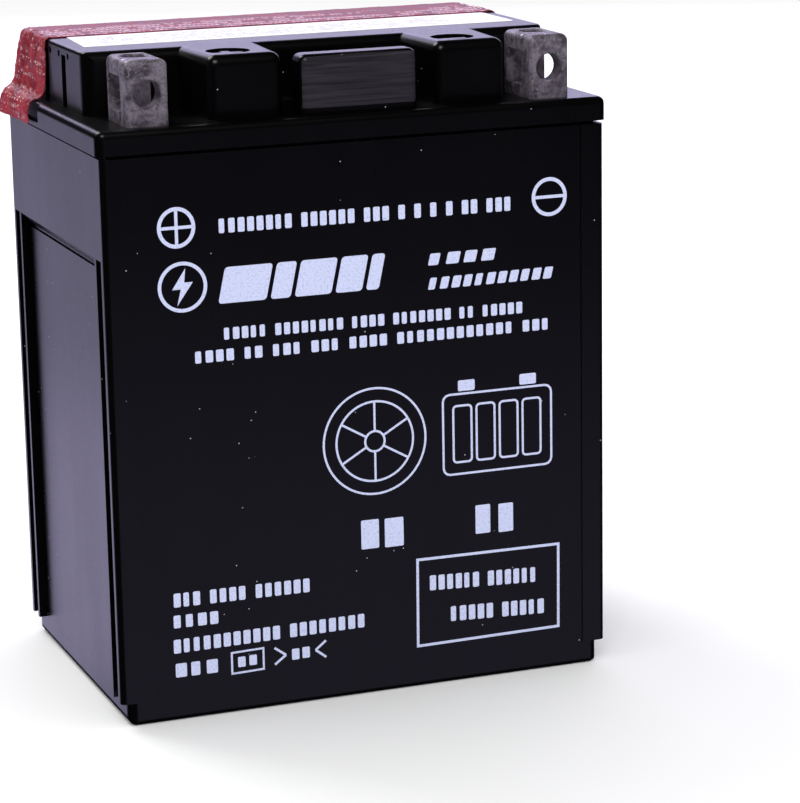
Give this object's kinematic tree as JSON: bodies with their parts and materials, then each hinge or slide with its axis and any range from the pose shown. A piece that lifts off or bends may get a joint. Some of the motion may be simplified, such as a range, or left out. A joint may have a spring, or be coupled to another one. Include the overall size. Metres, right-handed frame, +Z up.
{
  "type": "motorcycle battery",
  "caption": "Upright black sealed lead-acid battery with two lead box terminals and a red foil strip over its filler ports.",
  "frame": {"origin": "centre of the flat base", "axes": "+X along the front from the positive to the negative terminal, -Y to the front, +Z up"},
  "size_m": [0.1348, 0.089, 0.166],
  "materials": {
    "case_plastic": "satin",
    "lid_plastic": "satin",
    "cast_lead": "matte",
    "red_foil": "satin",
    "label_paper": "satin",
    "valve_rubber": "matte",
    "seal_rubber": "matte",
    "porous_ceramic": "matte",
    "positive_paste": "matte",
    "negative_paste": "matte",
    "glass_mat": "matte"
  },
  "bodies": {
    "battery": {"case": "case_plastic", "lid": "lid_plastic", "top_label": "label_paper", "flame_arrestor": "porous_ceramic", "vent_cover": "lid_plastic", "positive_terminal": "cast_lead", "negative_terminal": "cast_lead", "positive_terminal_seal": "seal_rubber", "negative_terminal_seal": "seal_rubber", "positive_post": "cast_lead", "negative_post": "cast_lead", "positive_plates_1": "positive_paste", "negative_plates_1": "negative_paste", "glass_mats_1": "glass_mat", "positive_strap_1": "cast_lead", "negative_strap_1": "cast_lead", "positive_plates_2": "positive_paste", "negative_plates_2": "negative_paste", "glass_mats_2": "glass_mat", "positive_strap_2": "cast_lead", "negative_strap_2": "cast_lead", "positive_plates_3": "positive_paste", "negative_plates_3": "negative_paste", "glass_mats_3": "glass_mat", "positive_strap_3": "cast_lead", "negative_strap_3": "cast_lead", "positive_plates_4": "positive_paste", "negative_plates_4": "negative_paste", "glass_mats_4": "glass_mat", "positive_strap_4": "cast_lead", "negative_strap_4": "cast_lead", "positive_plates_5": "positive_paste", "negative_plates_5": "negative_paste", "glass_mats_5": "glass_mat", "positive_strap_5": "cast_lead", "negative_strap_5": "cast_lead", "positive_plates_6": "positive_paste", "negative_plates_6": "negative_paste", "glass_mats_6": "glass_mat", "positive_strap_6": "cast_lead", "negative_strap_6": "cast_lead", "intercell_weld_1": "cast_lead", "intercell_weld_2": "cast_lead", "intercell_weld_3": "cast_lead", "intercell_weld_4": "cast_lead", "intercell_weld_5": "cast_lead"},
    "foil": {"foil_seal": "red_foil"},
    "valve": {"relief_valve": "valve_rubber"}
  },
  "joints": [
    {"name": "foil_peel", "type": "slide", "parent": "battery", "child": "foil", "axis": [0, 0, 1], "range_m": [0, 0.04]},
    {"name": "valve_lift", "type": "slide", "parent": "battery", "child": "valve", "axis": [0, 0, 1], "range_m": [0, 0.0008], "stiffness_N_per_m": 1200, "springref_m": -0.0005}
  ]
}
